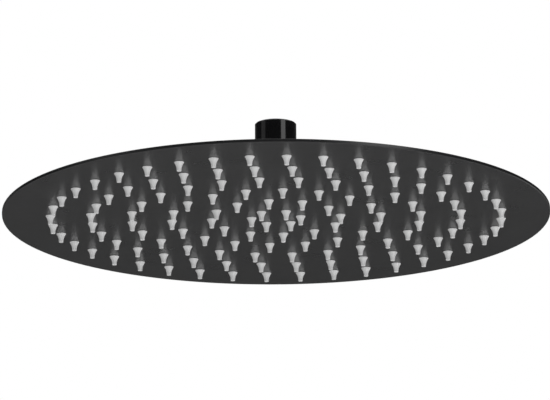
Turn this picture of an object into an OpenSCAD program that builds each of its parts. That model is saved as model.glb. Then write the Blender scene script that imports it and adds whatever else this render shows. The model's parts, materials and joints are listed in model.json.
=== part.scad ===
// Round ultra-thin shower head on a ball joint.
// Millimetres, +Z up. The origin is the mouth of the threaded inlet, and the head hangs below it.
// Two welded steel sheets make the head, and its nozzles are pushed through the lower one.

/* [Head] */
// Outside diameter of the head
head_d = 300; // [240:1:400]
// Thickness of the punched face sheet
face_t = 0.9; // [0.7:0.05:1.2]
// Thickness of the pressed back sheet
back_t = 0.9; // [0.7:0.05:1.2]
// Radius on the two outer corners of the rim
rim_round = 0.3; // [0.1:0.05:0.6]
// Width of the flat band where the two sheets are welded together
rim_band_w = 15; // [8:0.5:17]
// Width of the curved step from the band up to the water chamber
rim_step_w = 6; // [3:0.5:8]
// Height of the water chamber just inside that step
chamber_h = 3.4; // [2.8:0.1:6]
// Rise of the back sheet from there to the foot of the hub
dome_rise = 4; // [1:0.5:6]
// Diameter of the raised hub in the middle of the back sheet
hub_d = 62; // [56:1:80]
// Width of the curved step up to the flat of the hub
hub_step_w = 9; // [4:0.5:10]
// Height of that step
hub_rise = 2; // [1:0.25:3]

/* [Nozzles] */
// Nozzles in each ring, from the middle outwards
ring_counts = [6, 12, 18, 24, 32, 40]; // whole numbers, one for each ring
// Radius of the first ring
first_ring_r = 13.5; // [10:0.5:20]
// Distance from the last ring to the edge of the head
ring_margin = 26.5; // [26:0.5:40]
// Hole in the face sheet for each nozzle
nozzle_hole_d = 4; // [3.6:0.1:4.3]
// Gap round the neck of a nozzle in its hole
nozzle_gap = 0.03; // [0.01:0.01:0.08]
// Length of a nozzle below the face sheet
nozzle_len = 5; // [4:0.1:7]
// Diameter of the outer lip
lip_d = 5.3; // [5.2:0.1:6]
// Thickness of the outer lip at its edge
lip_t = 0.45; // [0.35:0.05:0.6]
// Radius on the edges of the outer lip
lip_round = 0.15; // [0.05:0.05:0.15]
// Diameter of the flare where it meets the lip
flare_d = 4.9; // [4:0.1:4.9]
// Diameter of the tip
tip_d = 2.5; // [2:0.1:3]
// Straight length of the tip below the flare
tip_land = 0.4; // [0.2:0.1:1]
// Chamfer round the end of the tip
tip_chamfer = 0.15; // [0.05:0.05:0.3]
// Diameter of the jet hole
jet_d = 1; // [0.6:0.1:1.4]
// Straight length of the jet hole
jet_len = 1.2; // [0.6:0.1:2]
// Diameter of the water way through the neck
nozzle_way_d = 2.4; // [1.8:0.1:2.6]
// Diameter of the inner flange that holds a nozzle in its hole
inner_flange_d = 5.2; // [4.8:0.1:5.6]
// Height of the edge of the inner flange
inner_flange_t = 0.4; // [0.2:0.1:0.8]
// Diameter of the inner flange at its top, where it is tapered to be pushed in
inner_flange_top_d = 4.2; // [3.4:0.1:4.8]
// Height of that taper
inner_taper_h = 0.7; // [0.4:0.1:1.2]

/* [Ball joint] */
// Diameter of the ball
ball_d = 19; // [18:0.5:20]
// Gap between the ball and its seats
ball_gap = 0.06; // [0.03:0.01:0.1]
// Height of the middle of the ball above the underside of the face sheet
ball_above_face = 26.6; // [25:0.2:32]
// Depth of the middle of the ball below the collar
collar_to_ball = 14; // [13:0.5:20]
// Largest tilt of the head, in degrees
tilt_max = 15; // [8:1:16]
// Free space left beside the neck at the largest tilt
tilt_gap = 0.35; // [0.2:0.05:0.6]
// Depth of the lower seat below the middle of the ball
lower_seat_h = 7.5; // [6:0.5:8]
// Height of the upper seat above the middle of the ball
upper_seat_h = 4.6; // [3.5:0.1:5]
// Wall of both seats at the middle of the ball
seat_wall = 1; // [0.8:0.1:1.6]
// Flat edge round the hole in the bottom of the lower seat
seat_land = 0.4; // [0.2:0.1:0.8]
// Gap round the seats in the boss and the nut
seat_gap = 0.05; // [0.02:0.01:0.1]
// Section of the rubber ring on the ball
o_ring_t = 1.8; // [1.4:0.1:2]
// Angle of that ring below the middle of the ball, in degrees
o_ring_angle = 20; // [18:1:24]
// Gap round that ring in its groove and its seat
o_ring_gap = 0.05; // [0.03:0.01:0.1]
// Distance from the middle of the ball down to the flat under it
ball_flat = 8.3; // [7.8:0.1:8.6]

/* [Boss and nut] */
// Wall of the boss beside the seats, up to the crest of its thread
boss_wall = 2.4; // [2:0.1:3.5]
// Height of the boss above the middle of the ball
boss_over = 1; // [0.5:0.1:2]
// Diameter of the flange that is welded to the hub
boss_flange_d = 36; // [32:0.5:40]
// Thickness of that flange
boss_flange_t = 1.6; // [1.2:0.1:2.5]
// Fillet between the boss and its flange
boss_fillet = 1; // [0.5:0.1:1.5]
// Hole in the hub for the spigot of the boss
hub_hole_d = 16; // [15:0.5:18]
// Gap round that spigot
spigot_gap = 0.05; // [0.02:0.01:0.1]
// Diameter of the water way through the boss
boss_way_d = 13; // [12:0.5:13.5]
// Gap between the threads of boss and nut
thread_gap = 0.1; // [0.05:0.01:0.15]
// Wall of the nut at the middle of a flat
nut_wall = 2.4; // [2:0.1:4]
// Depth of the nut below the middle of the ball
nut_skirt = 8; // [6:0.5:9]
// Thickness of the nut above the upper seat
nut_lip = 3.9; // [2.5:0.1:4.5]
// Gap between the top of the boss and the shoulder in the nut
nut_shoulder_gap = 0.5; // [0.2:0.1:1]
// Chamfer round both ends of the nut
nut_chamfer = 1; // [0.4:0.1:1.5]

/* [Inlet] */
// Diameter of the collar
collar_d = 22.8; // [22:0.1:28]
// Height of the collar
collar_h = 12.4; // [12:0.1:18]
// Chamfer round the mouth of the collar
collar_chamfer = 0.5; // [0.2:0.1:0.8]
// Rounding of the lower edge of the collar
collar_round = 0.8; // [0.2:0.1:1.5]
// Diameter of the neck between collar and ball
neck_d = 12.5; // [12:0.1:13]
// Fillet between collar and neck
neck_fillet = 1.2; // [0.5:0.1:2]
// Crest diameter of the inlet thread, a half inch parallel pipe thread
thread_d = 18.63; // [18.6:0.01:19.2]
// Length of the inlet thread
thread_len = 8.2; // [7:0.1:8.6]
// Diameter of the plain groove below the thread, where the washer lies
washer_groove_d = 19.4; // [19.3:0.1:20]
// Height of that groove
washer_groove_h = 2.6; // [2.4:0.1:3]
// Diameter of the water way through neck and ball
neck_way_d = 7.5; // [6:0.1:8]
// Chamfer of that water way under the ball
neck_way_chamfer = 0.5; // [0.2:0.1:0.6]
// Diameter of the pocket for the flow restrictor
restrictor_pocket_d = 9.4; // [9:0.1:9.8]
// Depth of that pocket
restrictor_pocket_h = 5; // [4.6:0.1:6]
// Gap round the flow restrictor in its pocket
restrictor_gap = 0.1; // [0.05:0.05:0.2]
// Height of the flow restrictor
restrictor_h = 4.2; // [3.6:0.1:4.4]
// Diameter of each hole in the flow restrictor
restrictor_hole_d = 2; // [1.2:0.1:2.2]
// Number of those holes
restrictor_holes = 3; // [3:1:4]
// Distance of those holes from the middle
restrictor_hole_r = 1.8; // [1.7:0.1:1.9]
// Depth of the dish in the top of the flow restrictor
restrictor_dish = 0.8; // [0.4:0.1:1.2]
// Rim left round that dish
restrictor_rim = 0.7; // [0.5:0.1:1]
// Section of the rubber ring round the flow restrictor
restrictor_ring_t = 1.2; // [1:0.1:1.3]
// Thickness of the inlet washer
washer_t = 2; // [1.6:0.1:2.2]
// Hole through the inlet washer
washer_hole_d = 11.2; // [11:0.1:12.4]
// Gap round the inlet washer in its groove
washer_gap = 0.1; // [0.05:0.05:0.2]
// Thickness of the strainer's wire cloth
screen_t = 0.35; // [0.25:0.05:0.5]
// Diameter of the strainer's flat brim
screen_d = 14.4; // [13.5:0.1:15]
// Diameter of the strainer's dome
screen_dome_d = 10.4; // [9:0.1:10.6]
// Height of the strainer's dome
screen_dome_h = 2.2; // [1:0.1:2.3]
// Gap between the strainer's brim and the recess in the washer
screen_gap = 0.05; // [0.02:0.01:0.1]

/* [Hidden] */
$fn = 96;
ring_total = len(ring_counts);

black = [0.11, 0.11, 0.12];
silicone = [0.82, 0.82, 0.82];
plastic = [0.9, 0.9, 0.87];
rubber = [0.16, 0.16, 0.16];
wire = [0.7, 0.7, 0.72];

// Segments in a rounded corner and in a long curve
corner_steps = 4;
curve_steps = 10;
// How far a cut starts outside the face that it goes through
cut = 1;

// Heights, from the inlet mouth at 0 downwards
collar_z = -collar_h;
ball_z = collar_z - collar_to_ball;
face_z = ball_z - ball_above_face;
sheet_z = face_z + face_t;
inlet_floor_z = -thread_len - washer_groove_h;

// Head
head_r = head_d / 2;
band_r = head_r - rim_band_w;
chamber_r = band_r - rim_step_w;
hub_r = hub_d / 2;
hub_foot_h = chamber_h + dome_rise;
hub_h = hub_foot_h + hub_rise;
hub_top_z = sheet_z + hub_h + back_t;
last_ring_r = head_r - ring_margin;
ring_pitch = (last_ring_r - first_ring_r) / (ring_total - 1);
function ring_r(i) = first_ring_r + ring_pitch * i;

// Ball joint
ball_r = ball_d / 2;
cup_r = ball_r + ball_gap;
seat_r = cup_r + seat_wall;
seat_bore_r = seat_r + seat_gap;
boss_r = seat_bore_r + boss_wall;
nut_bore_r = boss_r + thread_gap;
nut_flat_r = nut_bore_r + nut_wall;
nut_corner_r = nut_flat_r / cos(30);
nut_top = upper_seat_h + nut_lip;
neck_r = neck_d / 2;
// Radius at height h above the ball that the neck needs when the head is tilted all the way
function tilt_r(h) = (neck_r + tilt_gap + h * sin(tilt_max)) / cos(tilt_max);
// Radius of the seats' round surface at height h above or below the middle of the ball
function cup_at(h) = sqrt(cup_r * cup_r - h * h);
o_ring_path = cup_r - o_ring_gap - o_ring_t / 2;
o_ring_r = o_ring_path * cos(o_ring_angle);
o_ring_z = ball_z - o_ring_path * sin(o_ring_angle);

// A soft S from 0 to 1, the way a pressed sheet leaves a flat and joins the next one
function s_curve(t) = (1 - cos(180 * t)) / 2;
// Points of an S-shaped line from a to b, without a itself
function s_line(a, b) = [
    for (i = [1:curve_steps])
        let (t = i / curve_steps)
            [a[0] + (b[0] - a[0]) * t, a[1] + (b[1] - a[1]) * s_curve(t)]
];
// Points of an arc round c, from angle a to angle b
function arc(c, r, a, b, steps = corner_steps) = [
    for (i = [0:steps])
        let (angle = a + (b - a) * i / steps)
            [c[0] + r * cos(angle), c[1] + r * sin(angle)]
];
// Unit normal of a line at its point i
function line_normal(line, i) =
    let (
        before = line[max(i - 1, 0)],
        after = line[min(i + 1, len(line) - 1)],
        along = after - before
    )
    [-along[1], along[0]] / norm(along);
// The same line moved out by t, as the other side of a sheet
function other_side(line, t) = [for (i = [0:len(line) - 1]) line[i] + t * line_normal(line, i)];
// A list of points from last to first
function backwards(line) = [for (i = [len(line) - 1:-1:0]) line[i]];

module face_plate() {
    color(black)
        translate([0, 0, face_z])
            difference() {
                rotate_extrude()
                    polygon(concat(
                        [[0, face_t], [0, 0]],
                        arc([head_r - rim_round, rim_round], rim_round, -90, 0),
                        [[head_r, face_t]]
                    ));
                for (i = [0:ring_total - 1])
                    for (j = [0:ring_counts[i] - 1])
                        rotate(360 * j / ring_counts[i])
                            translate([ring_r(i), 0, -cut])
                                cylinder(h = face_t + 2 * cut, d = nozzle_hole_d);
            }
}

module back_plate() {
    hub_edge = [hub_r - hub_step_w, hub_h];
    hub_foot = [hub_r, hub_foot_h];
    chamber_edge = [chamber_r, chamber_h];
    // The underside of the sheet, from the hole in the hub to the rim
    inside = concat(
        [[hub_hole_d / 2, hub_h], hub_edge],
        s_line(hub_edge, hub_foot),
        s_line(hub_foot, chamber_edge),
        s_line(chamber_edge, [band_r, 0]),
        [[head_r - rim_round, 0]]
    );
    color(black)
        translate([0, 0, sheet_z])
            rotate_extrude()
                polygon(concat(
                    inside,
                    [[head_r, 0]],
                    arc([head_r - rim_round, back_t - rim_round], rim_round, 0, 90),
                    backwards(other_side(inside, back_t))
                ));
}

// One nozzle, with the underside of the face sheet at height 0
module nozzle() {
    jet_r = jet_d / 2;
    tip_r = tip_d / 2;
    flare_r = flare_d / 2;
    lip_r = lip_d / 2;
    way_r = nozzle_way_d / 2;
    neck_top_r = nozzle_hole_d / 2 - nozzle_gap;
    flange_r = inner_flange_d / 2;
    flare_top = -lip_t - lip_round;
    flare_end = tip_land - nozzle_len;
    // The flare is one arc, tangent to the straight tip
    flare_w = flare_r - tip_r;
    flare_h = flare_top - flare_end;
    flare_arc_r = (flare_w * flare_w + flare_h * flare_h) / (2 * flare_w);
    flare_angle = asin(flare_h / flare_arc_r);
    top = face_t + inner_flange_t + inner_taper_h;
    rotate_extrude()
        polygon(concat(
            [[jet_r, -nozzle_len], [tip_r - tip_chamfer, -nozzle_len]],
            [[tip_r, tip_chamfer - nozzle_len]],
            arc([tip_r + flare_arc_r, flare_end], flare_arc_r, 180, 180 - flare_angle, curve_steps),
            arc([lip_r - lip_round, -lip_t + lip_round], lip_round, -90, 0),
            arc([lip_r - lip_round, -lip_round], lip_round, 0, 90),
            [[neck_top_r, 0], [neck_top_r, face_t], [flange_r, face_t]],
            [[flange_r, face_t + inner_flange_t], [inner_flange_top_d / 2, top]],
            [[way_r, top], [way_r, 0], [jet_r, jet_len - nozzle_len]]
        ));
}

module nozzle_ring(i) {
    color(silicone)
        for (j = [0:ring_counts[i] - 1])
            rotate(360 * j / ring_counts[i])
                translate([ring_r(i), 0, face_z])
                    nozzle();
}

module inlet_boss() {
    way_r = boss_way_d / 2;
    flange_top_z = hub_top_z + boss_flange_t;
    color(black)
        rotate_extrude()
            polygon(concat(
                [[way_r, hub_top_z - back_t], [hub_hole_d / 2 - spigot_gap, hub_top_z - back_t]],
                [[hub_hole_d / 2 - spigot_gap, hub_top_z], [boss_flange_d / 2, hub_top_z]],
                [[boss_flange_d / 2, flange_top_z]],
                arc([boss_r + boss_fillet, flange_top_z + boss_fillet], boss_fillet, 270, 180),
                [[boss_r, ball_z + boss_over], [seat_bore_r, ball_z + boss_over]],
                [[seat_bore_r, ball_z - lower_seat_h], [way_r, ball_z - lower_seat_h]]
            ));
}

module lower_seat() {
    color(plastic)
        difference() {
            translate([0, 0, ball_z - lower_seat_h])
                cylinder(h = lower_seat_h, r = seat_r);
            translate([0, 0, ball_z])
                sphere(r = cup_r);
            translate([0, 0, ball_z - ball_r])
                cylinder(h = ball_r, r = cup_at(lower_seat_h) + seat_land);
        }
}

module upper_seat() {
    color(plastic)
        translate([0, 0, ball_z])
            difference() {
                cylinder(h = upper_seat_h, r = seat_r);
                sphere(r = cup_r);
            }
}

module retaining_nut() {
    nut_h = nut_skirt + nut_top;
    shoulder = boss_over + nut_shoulder_gap;
    chamfer_r = nut_corner_r - nut_flat_r;
    color(black)
        translate([0, 0, ball_z])
            difference() {
                intersection() {
                    translate([0, 0, -nut_skirt])
                        cylinder(h = nut_h, r = nut_corner_r, $fn = 6);
                    rotate_extrude()
                        polygon([
                            [0, -nut_skirt],
                            [nut_corner_r - chamfer_r, -nut_skirt],
                            [nut_corner_r, nut_chamfer - nut_skirt],
                            [nut_corner_r, nut_top - nut_chamfer],
                            [nut_corner_r - chamfer_r, nut_top],
                            [0, nut_top]
                        ]);
                }
                rotate_extrude()
                    polygon([
                        [0, -nut_skirt - cut],
                        [nut_bore_r, -nut_skirt - cut],
                        [nut_bore_r, shoulder],
                        [seat_bore_r, shoulder],
                        [seat_bore_r, upper_seat_h],
                        [max(cup_at(upper_seat_h), tilt_r(upper_seat_h)) + tilt_gap, upper_seat_h],
                        [tilt_r(nut_top) + tilt_gap, nut_top],
                        [tilt_r(nut_top) + tilt_gap, nut_top + cut],
                        [0, nut_top + cut]
                    ]);
            }
}

module ball_o_ring() {
    color(rubber)
        translate([0, 0, o_ring_z])
            rotate_extrude()
                translate([o_ring_r, 0])
                    circle(d = o_ring_t);
}

module ball_fitting() {
    collar_r = collar_d / 2;
    way_r = neck_way_d / 2;
    flat_z = ball_z - ball_flat;
    color(black)
        difference() {
            union() {
                rotate_extrude()
                    polygon(concat(
                        [[0, 0], [0, ball_z], [neck_r, ball_z]],
                        arc([neck_r + neck_fillet, collar_z - neck_fillet], neck_fillet, 180, 90),
                        arc([collar_r - collar_round, collar_z + collar_round], collar_round, -90, 0),
                        [[collar_r, -collar_chamfer], [collar_r - collar_chamfer, 0]]
                    ));
                translate([0, 0, ball_z])
                    sphere(r = ball_r);
            }
            translate([0, 0, -thread_len])
                cylinder(h = thread_len + cut, d = thread_d);
            translate([0, 0, inlet_floor_z])
                cylinder(h = washer_groove_h, d = washer_groove_d);
            translate([0, 0, inlet_floor_z - restrictor_pocket_h])
                cylinder(h = restrictor_pocket_h + cut, d = restrictor_pocket_d);
            translate([0, 0, ball_z - ball_d])
                cylinder(h = ball_d + collar_to_ball, r = way_r);
            translate([0, 0, flat_z])
                cylinder(h = neck_way_chamfer, r1 = way_r + neck_way_chamfer, r2 = way_r);
            translate([0, 0, flat_z - ball_r])
                cylinder(h = ball_r, r = ball_r);
            translate([0, 0, o_ring_z])
                rotate_extrude()
                    translate([o_ring_r - o_ring_t / 2 - o_ring_gap, -o_ring_t / 2 - o_ring_gap])
                        square([ball_r, o_ring_t + 2 * o_ring_gap]);
        }
}

module inlet_washer() {
    color(rubber)
        translate([0, 0, inlet_floor_z])
            difference() {
                cylinder(h = washer_t, r = washer_groove_d / 2 - washer_gap);
                translate([0, 0, -cut])
                    cylinder(h = washer_t + 2 * cut, d = washer_hole_d);
                translate([0, 0, -cut])
                    cylinder(h = cut + screen_t + screen_gap, r = screen_d / 2 + screen_gap);
            }
}

module filter_screen() {
    // The dome is part of a sphere that meets the brim at its inner edge
    dome_r = screen_dome_d / 2;
    sphere_r = (dome_r * dome_r + screen_dome_h * screen_dome_h) / (2 * screen_dome_h);
    middle = [0, screen_dome_h - sphere_r];
    inner_r = sphere_r - screen_t;
    function rim_angle(r, h) = acos(sqrt(r * r - pow(h - middle[1], 2)) / r);
    color(wire)
        translate([0, 0, inlet_floor_z])
            rotate_extrude()
                polygon(concat(
                    [[screen_d / 2, 0], [screen_d / 2, screen_t]],
                    arc(middle, sphere_r, rim_angle(sphere_r, screen_t), 90, curve_steps),
                    arc(middle, inner_r, 90, rim_angle(inner_r, 0), curve_steps)
                ));
}

module flow_restrictor() {
    body_r = restrictor_pocket_d / 2 - restrictor_gap;
    groove_h = restrictor_ring_t + 2 * restrictor_gap;
    color(plastic)
        translate([0, 0, inlet_floor_z - restrictor_pocket_h])
            difference() {
                cylinder(h = restrictor_h, r = body_r);
                translate([0, 0, restrictor_h - restrictor_dish])
                    cylinder(h = restrictor_dish + cut, r = body_r - restrictor_rim);
                for (j = [0:restrictor_holes - 1])
                    rotate(360 * j / restrictor_holes)
                        translate([restrictor_hole_r, 0, -cut])
                            cylinder(h = restrictor_h + 2 * cut, d = restrictor_hole_d);
                translate([0, 0, (restrictor_h - restrictor_dish - groove_h) / 2])
                    difference() {
                        cylinder(h = groove_h, r = body_r + cut);
                        translate([0, 0, -cut])
                            cylinder(h = groove_h + 2 * cut, r = body_r - restrictor_ring_t);
                    }
            }
}

module restrictor_o_ring() {
    color(rubber)
        translate([0, 0, inlet_floor_z - restrictor_pocket_h + (restrictor_h - restrictor_dish) / 2])
            rotate_extrude()
                translate([restrictor_pocket_d / 2 - restrictor_gap - restrictor_ring_t / 2, 0])
                    circle(d = restrictor_ring_t);
}

face_plate();
back_plate();
for (i = [1:ring_total])
    nozzle_ring(i - 1);
inlet_boss();
lower_seat();
upper_seat();
retaining_nut();
ball_o_ring();
ball_fitting();
inlet_washer();
filter_screen();
flow_restrictor();
restrictor_o_ring();
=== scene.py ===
# %% [markdown]
# # A round, very thin overhead shower head
#
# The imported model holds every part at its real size: two welded steel sheets, 132 soft nozzles and a
# ball joint with a threaded inlet. This script gives those parts their finish. It models again the
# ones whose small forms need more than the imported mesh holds, and lights and frames them as a product
# photograph does. Lengths are in metres, +Z is up, and the origin is the mouth of the inlet.

import json
import math

import bpy
from mathutils import Euler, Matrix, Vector


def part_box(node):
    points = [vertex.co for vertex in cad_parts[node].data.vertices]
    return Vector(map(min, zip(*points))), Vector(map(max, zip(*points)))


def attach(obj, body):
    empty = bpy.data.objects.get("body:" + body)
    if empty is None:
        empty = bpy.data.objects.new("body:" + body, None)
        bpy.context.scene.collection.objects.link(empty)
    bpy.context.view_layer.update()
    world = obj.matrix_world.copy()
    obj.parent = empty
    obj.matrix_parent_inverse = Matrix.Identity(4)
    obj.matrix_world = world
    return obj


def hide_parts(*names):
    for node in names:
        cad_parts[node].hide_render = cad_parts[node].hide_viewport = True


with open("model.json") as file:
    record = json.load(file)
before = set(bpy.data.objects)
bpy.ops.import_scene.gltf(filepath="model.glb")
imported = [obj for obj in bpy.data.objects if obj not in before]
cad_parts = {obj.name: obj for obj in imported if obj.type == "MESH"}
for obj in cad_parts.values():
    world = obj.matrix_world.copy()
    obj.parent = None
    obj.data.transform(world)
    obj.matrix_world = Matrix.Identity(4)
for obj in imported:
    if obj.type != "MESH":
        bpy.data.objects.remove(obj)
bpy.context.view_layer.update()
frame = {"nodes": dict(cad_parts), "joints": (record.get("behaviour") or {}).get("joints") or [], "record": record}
nodes = frame["nodes"]
MM = 0.001

face_low, face_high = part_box("face_plate")
FACE_Z = face_low.z
SHEET_Z = face_high.z
HEAD_R = face_high.x
print("head radius", round(HEAD_R, 4), "underside at", round(FACE_Z, 4))

# %% [markdown]
# ## Camera
#
# The picture looks up at the head from about 15 degrees below it, from far away with a long lens, so
# the disc is a narrow ellipse with almost no perspective. The camera is placed by its direction and
# distance from the middle of the face, then aimed a little above that middle, where the centre of the
# picture lies. A third of a degree of roll is how the picture was held.

# %% Camera
CAMERA_AZIMUTH = math.radians(6.35)
CAMERA_ELEVATION = math.radians(-15.06)
CAMERA_ROLL = math.radians(-0.35)
CAMERA_DISTANCE = 18.5 * HEAD_R
CAMERA_LENS_MM = 331.7
SENSOR_MM = 36
AIM_RIGHT = -0.575 * MM
AIM_UP = 9.3 * MM


def direction(azimuth, elevation):
    """A unit vector: azimuth 0 points to -Y and grows towards +X, elevation is above the horizon."""
    flat = math.cos(elevation)
    return Vector((math.sin(azimuth) * flat, -math.cos(azimuth) * flat, math.sin(elevation)))


face_middle = Vector((0, 0, FACE_Z))
to_camera = direction(CAMERA_AZIMUTH, CAMERA_ELEVATION)
camera_data = bpy.data.cameras.new("camera")
camera_data.lens = CAMERA_LENS_MM
camera_data.sensor_width = SENSOR_MM
camera = bpy.data.objects.new("camera", camera_data)
bpy.context.scene.collection.objects.link(camera)
camera.location = face_middle + to_camera * CAMERA_DISTANCE
upright = (-to_camera).to_track_quat("-Z", "Y")
aim = face_middle + upright @ Vector((AIM_RIGHT, AIM_UP, 0))
look = (aim - camera.location).to_track_quat("-Z", "Y")
camera.rotation_euler = (look @ Euler((0, 0, CAMERA_ROLL)).to_quaternion()).to_euler()
bpy.context.scene.camera = camera
print("camera at", [round(value, 3) for value in camera.location])

# %% [markdown]
# ## How the parts are shaped
#
# Nearly every part of a shower head is round: pressed, turned or moulded about one axis. In Blender
# such a part can start as a circle whose ring of vertices is extruded and scaled along the part's
# outline, one point after another, as a lathe tool follows a profile. That keeps even, square faces,
# which take a bevel or a thread well. A spin of a drawn profile would give the same, but the
# extruded rings let one function also stop at a hole or close on itself.

# %% Selecting and closing
MERGE_DISTANCE = 0.004 * MM
SMOOTH_ANGLE = math.radians(35)


def only(piece):
    """Selects one piece and nothing else."""
    bpy.ops.object.select_all(action="DESELECT")
    piece.select_set(True)
    bpy.context.view_layer.objects.active = piece


def arc(centre, radius, start, end, steps=6):
    """Points (radius, height) along an arc round centre, with angles in degrees."""
    points = []
    for step in range(steps + 1):
        angle = math.radians(start + (end - start) * step / steps)
        points.append((centre[0] + radius * math.cos(angle), centre[1] + radius * math.sin(angle)))
    return points


def close_mesh(piece):
    """Merges doubles, turns all faces outwards and smooths what isn't a sharp edge."""
    only(piece)
    bpy.ops.object.mode_set(mode="EDIT")
    bpy.ops.mesh.select_all(action="SELECT")
    bpy.ops.mesh.remove_doubles(threshold=MERGE_DISTANCE)
    bpy.ops.mesh.normals_make_consistent(inside=False)
    bpy.ops.object.mode_set(mode="OBJECT")
    bpy.ops.object.shade_smooth_by_angle(angle=SMOOTH_ANGLE)


# %% A part made from its outline
def turned(name, outline, sides, capped=False):
    """A ring of vertices extruded along an outline of (radius, height) points, closed on itself or
    capped at both ends."""
    radius, height = outline[0]
    bpy.ops.object.select_all(action="DESELECT")
    bpy.ops.mesh.primitive_circle_add(vertices=sides, radius=radius, location=(0, 0, height))
    piece = bpy.context.object
    piece.name = name
    bpy.ops.object.transform_apply()
    bpy.ops.object.mode_set(mode="EDIT")
    bpy.ops.mesh.select_all(action="SELECT")
    if capped:
        bpy.ops.mesh.edge_face_add()
        bpy.ops.mesh.select_mode(type="FACE")
    for next_radius, next_height in outline[1:]:
        rise = {"value": (0, 0, next_height - height)}
        bpy.ops.mesh.extrude_region_move(TRANSFORM_OT_translate=rise)
        scale = next_radius / radius
        bpy.ops.transform.resize(value=(scale, scale, 1), center_override=(0, 0, 0))
        radius, height = next_radius, next_height
    bpy.ops.mesh.select_mode(type="VERT")
    bpy.ops.object.mode_set(mode="OBJECT")
    close_mesh(piece)
    return piece


# %% [markdown]
# ## Nozzles
#
# Each nozzle is a small silicone plug pushed through the face sheet from inside. A rounded lip stops
# it, a flare narrows to a straight tip, and a jet hole runs through. Water scale cracks off when the
# soft tip is rubbed. One nozzle is turned from its outline, then copied round each ring, and each
# ring is joined into one piece. All the nozzles could be instances of one mesh, but separate meshes
# are what a printer or another program expects.

# %% Nozzle sizes
RING_COUNTS = (6, 12, 18, 24, 32, 40)
first_low, first_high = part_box("nozzle_ring_1")
last_low, last_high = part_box("nozzle_ring_6")
TIP_Z = first_low.z
NOZZLE_TOP_Z = first_high.z
LIP_R = 2.65 * MM
LIP_T = 0.45 * MM
LIP_ROUND = 0.15 * MM
FLARE_R = 2.45 * MM
TIP_R = 1.25 * MM
TIP_LAND = 0.4 * MM
TIP_CHAMFER = 0.15 * MM
JET_R = 0.5 * MM
JET_LEN = 1.2 * MM
WAY_R = 1.2 * MM
NECK_R = 1.97 * MM
INNER_FLANGE_R = 2.6 * MM
INNER_FLANGE_T = 0.4 * MM
INNER_TOP_R = 2.1 * MM
NOZZLE_SIDES = 20
FIRST_RING_R = first_high.x - LIP_R
LAST_RING_R = last_high.x - LIP_R
RING_PITCH = (LAST_RING_R - FIRST_RING_R) / (len(RING_COUNTS) - 1)


# %% One nozzle
def nozzle_outline():
    """The outline of a nozzle from its jet hole round the outside and back through its water way."""
    flare_top = FACE_Z - LIP_T - LIP_ROUND
    flare_end = TIP_Z + TIP_LAND
    flare_w = FLARE_R - TIP_R
    flare_h = flare_top - flare_end
    flare_arc_r = (flare_w**2 + flare_h**2) / (2 * flare_w)
    flare_turn = math.degrees(math.asin(flare_h / flare_arc_r))
    lip_middle = (LIP_R - LIP_ROUND, FACE_Z - LIP_T + LIP_ROUND)
    lip_upper = (LIP_R - LIP_ROUND, FACE_Z - LIP_ROUND)
    return [
        (JET_R, TIP_Z),
        (TIP_R - TIP_CHAMFER, TIP_Z),
        (TIP_R, TIP_Z + TIP_CHAMFER),
        *arc((TIP_R + flare_arc_r, flare_end), flare_arc_r, 180, 180 - flare_turn),
        *arc(lip_middle, LIP_ROUND, -90, 0, steps=3),
        *arc(lip_upper, LIP_ROUND, 0, 90, steps=3),
        (NECK_R, FACE_Z),
        (NECK_R, SHEET_Z),
        (INNER_FLANGE_R, SHEET_Z),
        (INNER_FLANGE_R, SHEET_Z + INNER_FLANGE_T),
        (INNER_TOP_R, NOZZLE_TOP_Z),
        (WAY_R, NOZZLE_TOP_Z),
        (WAY_R, FACE_Z),
        (JET_R, TIP_Z + JET_LEN),
        (JET_R, TIP_Z),
    ]


def copy_of(piece, name):
    """A copy of a piece with a mesh of its own."""
    twin = piece.copy()
    twin.data = piece.data.copy()
    twin.name = name
    bpy.context.scene.collection.objects.link(twin)
    return twin


pattern = turned("nozzle", nozzle_outline(), NOZZLE_SIDES)
print("one nozzle:", len(pattern.data.polygons), "faces")


# %% The rings
def join(pieces, name):
    """One piece made of several, with their places in its mesh."""
    bpy.ops.object.select_all(action="DESELECT")
    for piece in pieces:
        piece.select_set(True)
    bpy.context.view_layer.objects.active = pieces[0]
    bpy.ops.object.transform_apply()
    bpy.ops.object.join()
    joined = bpy.context.object
    joined.name = name
    return joined


rings = []
for ring, count in enumerate(RING_COUNTS):
    ring_r = FIRST_RING_R + RING_PITCH * ring
    plugs = []
    for place in range(count):
        turn = 2 * math.pi * place / count
        plug = copy_of(pattern, "plug")
        plug.location = (ring_r * math.cos(turn), ring_r * math.sin(turn), 0)
        plug.rotation_euler.z = turn
        plugs.append(plug)
    nozzles = join(plugs, f"nozzles_{ring + 1}")
    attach(nozzles, "head")
    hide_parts(f"nozzle_ring_{ring + 1}")
    rings.append(nozzles)
bpy.data.objects.remove(pattern)
print("nozzles:", sum(RING_COUNTS), "in", len(rings), "rings")

# %% [markdown]
# ## Ball fitting
#
# Collar, neck and ball are turned from one brass bar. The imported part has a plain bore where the
# thread is, so this piece cuts it: half inch pipe thread, 14 turns to the inch, with rounded crests
# and roots and a chamfer at the mouth that leads the arm in. The bore is turned with many rings, then
# each vertex is moved out by the depth of the thread at its height and angle. A boolean with a
# screw would also cut it, but leaves long thin faces at every crossing.

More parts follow.
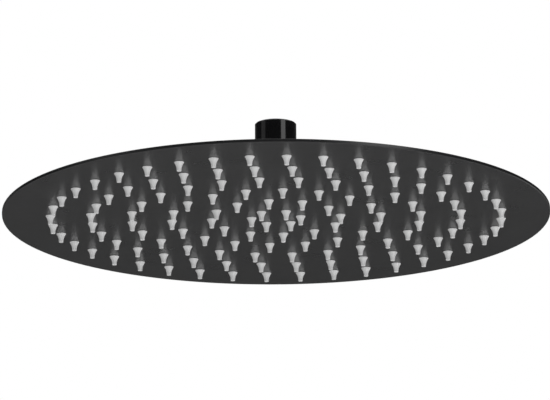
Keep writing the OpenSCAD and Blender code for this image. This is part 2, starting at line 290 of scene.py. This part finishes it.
# %% Ball fitting sizes
fitting_low, fitting_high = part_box("ball_fitting")
BALL_Z = frame["joints"][0]["pos_m"][2]
COLLAR_R = fitting_high.x
COLLAR_Z = -12.4 * MM
COLLAR_CHAMFER = 0.5 * MM
COLLAR_ROUND = 0.8 * MM
NECK_OUTER_R = 6.25 * MM
NECK_FILLET = 1.2 * MM
BALL_R = 9.5 * MM
BALL_FLAT_Z = fitting_low.z
NECK_WAY_R = 3.75 * MM
NECK_WAY_CHAMFER = 0.5 * MM
POCKET_R = 4.7 * MM
POCKET_Z = -15.8 * MM
GROOVE_R = 9.7 * MM
GROOVE_Z = -10.8 * MM
O_RING_GROOVE_R = 7.93 * MM
O_RING_GROOVE_ANGLES = (-13.6, -26.7)
FITTING_SIDES = 96

# %% Thread sizes
inlet = frame["record"]["mounts"][0]["dims"]
THREAD_CREST_R = inlet["r_mm"] * MM
THREAD_LEN = inlet["length_mm"] * MM
THREAD_PITCH = 25.4 / 14 * MM
THREAD_DEPTH = 1.16 * MM
THREAD_RINGS = 54
THREAD_ROUND = 0.8
LEAD_IN = 1.3 * MM
RUN_OUT = 1.2 * MM


def eased(value, low, high):
    """0 below low and 1 above high, with a soft change between them."""
    share = min(max((value - low) / (high - low), 0), 1)
    return share * share * (3 - 2 * share)


def thread_radius(angle, height):
    """Radius of the inside thread at an angle and a height."""
    turn = (height / THREAD_PITCH - angle / (2 * math.pi)) % 1
    flank = 1 - abs(2 * turn - 1)
    cut = eased(flank, (1 - THREAD_ROUND) / 2, (1 + THREAD_ROUND) / 2)
    fade = eased(height, -THREAD_LEN, -THREAD_LEN + RUN_OUT)
    lead = THREAD_CREST_R + max(LEAD_IN + height, 0)
    return max(THREAD_CREST_R + THREAD_DEPTH * cut * fade, lead)


# %% The turned fitting
ball_top = math.degrees(math.acos(NECK_OUTER_R / BALL_R))
flat_turn = math.degrees(math.asin((BALL_FLAT_Z - BALL_Z) / BALL_R))
groove_start, groove_end = O_RING_GROOVE_ANGLES
ball_middle = (0, BALL_Z)
ball_upper = arc(ball_middle, BALL_R, ball_top, groove_start, steps=20)
ball_lower = arc(ball_middle, BALL_R, groove_end, flat_turn, steps=10)
thread_wall = [
    (THREAD_CREST_R, -THREAD_LEN * step / THREAD_RINGS) for step in range(THREAD_RINGS + 1)
]
fitting_outline = [
    *thread_wall,
    (GROOVE_R, -THREAD_LEN),
    (GROOVE_R, GROOVE_Z),
    (POCKET_R, GROOVE_Z),
    (POCKET_R, POCKET_Z),
    (NECK_WAY_R, POCKET_Z),
    (NECK_WAY_R, BALL_FLAT_Z + NECK_WAY_CHAMFER),
    (NECK_WAY_R + NECK_WAY_CHAMFER, BALL_FLAT_Z),
    *reversed(ball_lower),
    (O_RING_GROOVE_R, ball_lower[0][1]),
    (O_RING_GROOVE_R, ball_upper[-1][1]),
    *reversed(ball_upper),
    *reversed(arc((NECK_OUTER_R + NECK_FILLET, COLLAR_Z - NECK_FILLET), NECK_FILLET, 90, 180)),
    *arc((COLLAR_R - COLLAR_ROUND, COLLAR_Z + COLLAR_ROUND), COLLAR_ROUND, -90, 0),
    (COLLAR_R, -COLLAR_CHAMFER),
    (COLLAR_R - COLLAR_CHAMFER, 0),
    thread_wall[0],
]
fitting = turned("threaded_fitting", fitting_outline, FITTING_SIDES)
for vertex in fitting.data.vertices:
    point = vertex.co
    radius = math.hypot(point.x, point.y)
    if abs(radius - THREAD_CREST_R) < MERGE_DISTANCE and point.z > -THREAD_LEN - MERGE_DISTANCE:
        widen = thread_radius(math.atan2(point.y, point.x), point.z) / radius
        point.x *= widen
        point.y *= widen
close_mesh(fitting)
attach(fitting, "fitting")
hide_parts("ball_fitting")
print("fitting:", len(fitting.data.polygons), "faces")

# %% [markdown]
# ## Finishes
#
# A finish is a colour, a gloss and a very small relief. Sprayed or dipped coatings are never quite
# even: the gloss drifts a little over centimetres, and the surface has the faint waves called orange
# peel. These drifts are noise read from the piece's own coordinates, so they keep their real scale on
# every part and stay put when the head tilts.

# %% Material helpers
def material(name):
    """A new material with its node tree and its main shader."""
    made = bpy.data.materials.new(name)
    made.use_nodes = True
    return made, made.node_tree, made.node_tree.nodes["Principled BSDF"]


def noise(tree, size, detail=2.0):
    """Soft noise with spots of a size in metres."""
    place = tree.nodes.new("ShaderNodeTexCoord")
    spots = tree.nodes.new("ShaderNodeTexNoise")
    spots.inputs["Scale"].default_value = 1 / size
    spots.inputs["Detail"].default_value = detail
    tree.links.new(place.outputs["Object"], spots.inputs["Vector"])
    return spots.outputs["Fac"]


def drift(tree, fac, low, high):
    """A value that follows a noise from low to high."""
    spread = tree.nodes.new("ShaderNodeMapRange")
    spread.inputs["From Min"].default_value = 0.3
    spread.inputs["From Max"].default_value = 0.7
    spread.inputs["To Min"].default_value = low
    spread.inputs["To Max"].default_value = high
    tree.links.new(fac, spread.inputs["Value"])
    return spread.outputs["Result"]


def two_tones(tree, fac, first, second):
    """A colour that follows a noise from the first tone to the second."""
    mix = tree.nodes.new("ShaderNodeMix")
    mix.data_type = "RGBA"
    mix.inputs["A"].default_value = (*first, 1)
    mix.inputs["B"].default_value = (*second, 1)
    tree.links.new(drift(tree, fac, 0, 1), mix.inputs["Factor"])
    return mix.outputs["Result"]


def relief(tree, shader, fac, depth):
    """Raises the surface by a noise, to a depth in metres."""
    bump = tree.nodes.new("ShaderNodeBump")
    bump.inputs["Distance"].default_value = depth
    tree.links.new(fac, bump.inputs["Height"])
    tree.links.new(bump.outputs["Normal"], shader.inputs["Normal"])


def finish(name, first, second, roughness, tone_size, relief_size, relief_depth, **constants):
    """A finish of two close tones, a drifting gloss and a fine relief, with constant sockets."""
    made, tree, shader = material(name)
    tones = noise(tree, tone_size)
    tree.links.new(two_tones(tree, tones, first, second), shader.inputs["Base Color"])
    tree.links.new(drift(tree, noise(tree, tone_size * 0.6), *roughness), shader.inputs["Roughness"])
    relief(tree, shader, noise(tree, relief_size, detail=1.0), relief_depth)
    for socket, value in constants.items():
        shader.inputs[socket.replace("_", " ")].default_value = value
    return made


# %% The finishes
satin_black = finish(
    "satin_black", (0.0075, 0.0075, 0.008), (0.009, 0.009, 0.0095),
    roughness=(0.27, 0.31), tone_size=30 * MM, relief_size=1.6 * MM, relief_depth=0.002 * MM,
)
gloss_black = finish(
    "gloss_black", (0.004, 0.004, 0.0044), (0.0055, 0.0055, 0.006),
    roughness=(0.10, 0.13), tone_size=12 * MM, relief_size=1.2 * MM, relief_depth=0.0015 * MM,
)
silicone = finish(
    "silicone", (0.60, 0.60, 0.60), (0.66, 0.66, 0.66),
    roughness=(0.42, 0.5), tone_size=14 * MM, relief_size=0.35 * MM, relief_depth=0.004 * MM,
)
moulded_plastic = finish(
    "moulded_plastic", (0.72, 0.71, 0.67), (0.76, 0.75, 0.71),
    roughness=(0.32, 0.4), tone_size=8 * MM, relief_size=0.5 * MM, relief_depth=0.003 * MM,
)
seal_rubber = finish(
    "seal_rubber", (0.018, 0.018, 0.018), (0.026, 0.026, 0.025),
    roughness=(0.55, 0.68), tone_size=4 * MM, relief_size=0.25 * MM, relief_depth=0.006 * MM,
)
wire_steel = finish(
    "wire_steel", (0.52, 0.52, 0.53), (0.6, 0.6, 0.61),
    roughness=(0.22, 0.3), tone_size=3 * MM, relief_size=0.2 * MM, relief_depth=0.002 * MM,
    Metallic=1.0,
)


# %% Put the finishes on
def paint(piece, made):
    """Gives a piece one material all over."""
    piece.data.materials.clear()
    piece.data.materials.append(made)


for name in ("face_plate", "back_plate"):
    paint(nodes[name], satin_black)
for name in ("inlet_boss", "retaining_nut"):
    paint(nodes[name], gloss_black)
for name in ("lower_seat", "upper_seat", "flow_restrictor"):
    paint(nodes[name], moulded_plastic)
for name in ("ball_o_ring", "inlet_washer", "restrictor_o_ring"):
    paint(nodes[name], seal_rubber)
paint(nodes["filter_screen"], wire_steel)
paint(fitting, gloss_black)
for nozzles in rings:
    paint(nozzles, silicone)

# %% [markdown]
# ## Studio
#
# The picture is a plain product photograph: white all round, soft lamps, and a satin black disc that
# must not turn grey. A glossy black part shows only what it mirrors, so photographers put black cards
# where a mirror would see white. Here the cards are seen by gloss alone, and the lamps stand in the
# gaps between them. The floor is pale and far below, because the head hangs from an arm.

# %% World
AMBIENT = 0.85
WHITE = (1, 1, 1, 1)

world = bpy.data.worlds.new("studio")
bpy.context.scene.world = world
world.use_nodes = True
tree = world.node_tree
ambient = tree.nodes["Background"]
ambient.inputs["Color"].default_value = WHITE
ambient.inputs["Strength"].default_value = AMBIENT
seen = tree.nodes.new("ShaderNodeBackground")
seen.inputs["Color"].default_value = WHITE
path = tree.nodes.new("ShaderNodeLightPath")
camera_or_gloss = tree.nodes.new("ShaderNodeMath")
camera_or_gloss.operation = "ADD"
any_sight = tree.nodes.new("ShaderNodeMath")
any_sight.operation = "ADD"
any_sight.use_clamp = True
both = tree.nodes.new("ShaderNodeMixShader")
tree.links.new(path.outputs["Is Camera Ray"], camera_or_gloss.inputs[0])
tree.links.new(path.outputs["Is Glossy Ray"], camera_or_gloss.inputs[1])
tree.links.new(camera_or_gloss.outputs[0], any_sight.inputs[0])
tree.links.new(path.outputs["Is Transmission Ray"], any_sight.inputs[1])
tree.links.new(any_sight.outputs[0], both.inputs["Fac"])
tree.links.new(ambient.outputs[0], both.inputs[1])
tree.links.new(seen.outputs[0], both.inputs[2])
tree.links.new(both.outputs[0], tree.nodes["World Output"].inputs["Surface"])
world.cycles.sampling_method = "NONE"

# %% Floor
FLOOR_Z = -1.2
FLOOR_SIZE = 12
FLOOR_COLOUR = (0.8, 0.8, 0.8, 1)

bpy.ops.object.select_all(action="DESELECT")
bpy.ops.mesh.primitive_plane_add(size=FLOOR_SIZE, location=(0, 0, FLOOR_Z))
floor = bpy.context.object
floor.name = "floor"
made, tree, shader = material("floor")
shader.inputs["Base Color"].default_value = FLOOR_COLOUR
shader.inputs["Roughness"].default_value = 0.9
# Seen from underneath, the floor lets the view through
side = tree.nodes.new("ShaderNodeNewGeometry")
clear = tree.nodes.new("ShaderNodeBsdfTransparent")
one_sided = tree.nodes.new("ShaderNodeMixShader")
tree.links.new(side.outputs["Backfacing"], one_sided.inputs["Fac"])
tree.links.new(shader.outputs[0], one_sided.inputs[1])
tree.links.new(clear.outputs[0], one_sided.inputs[2])
tree.links.new(one_sided.outputs[0], tree.nodes["Material Output"].inputs["Surface"])
paint(floor, made)


# %% Black cards
def card(name, azimuth, elevation, distance, width, height, grey):
    """A flat card that faces the head and that only gloss can see."""
    away = direction(math.radians(azimuth), math.radians(elevation))
    bpy.ops.object.select_all(action="DESELECT")
    bpy.ops.mesh.primitive_plane_add(size=1, location=face_middle + away * distance)
    made_card = bpy.context.object
    made_card.name = name
    made_card.scale = (width, height, 1)
    made_card.rotation_euler = (-away).to_track_quat("Z", "Y").to_euler()
    glow, tree, shader = material(name)
    emission = tree.nodes.new("ShaderNodeEmission")
    emission.inputs["Color"].default_value = (grey, grey, grey, 1)
    tree.links.new(emission.outputs[0], tree.nodes["Material Output"].inputs["Surface"])
    glow.cycles.emission_sampling = "NONE"
    paint(made_card, glow)
    made_card.visible_camera = False
    made_card.visible_diffuse = False
    made_card.visible_shadow = False
    made_card.visible_transmission = False
    return made_card


CARD_GREY = 0.09
card("far_card", 186.35, 4, 2.2, 5.4, 3.4, CARD_GREY)
card("left_card", -84, 0, 2.2, 5, 3.0, 0.03)
card("right_card", 96, 0, 2.2, 5, 3.0, 0.03)
card("near_card", 6.35, 20, 3.4, 6, 3.0, 0.03)


# %% Lamps
def lamp(name, azimuth, elevation, distance, width, height, radiance):
    """A soft rectangular lamp aimed at the head. Radiance 1 looks white."""
    away = direction(math.radians(azimuth), math.radians(elevation))
    data = bpy.data.lights.new(name, "AREA")
    data.shape = "RECTANGLE"
    data.size = width
    data.size_y = height
    data.energy = radiance * math.pi * width * height
    made_lamp = bpy.data.objects.new(name, data)
    bpy.context.scene.collection.objects.link(made_lamp)
    made_lamp.location = face_middle + away * distance
    made_lamp.rotation_euler = (-away).to_track_quat("-Z", "Y").to_euler()
    made_lamp.visible_camera = False
    return made_lamp


lamp("key", 48.9, 15, 2.0, 0.85, 1.1, 2.0)
lamp("far_right", 140, -22, 1.8, 0.9, 0.7, 1.5)
lamp("left_fill", -66, 8, 2.0, 0.9, 1.2, 0.35)
lamp("low_right", 42, -36, 1.9, 1.3, 1.1, 4.5)

# %% Show colours as they are written, with the Standard view transform
bpy.context.scene.view_settings.view_transform = "Standard"
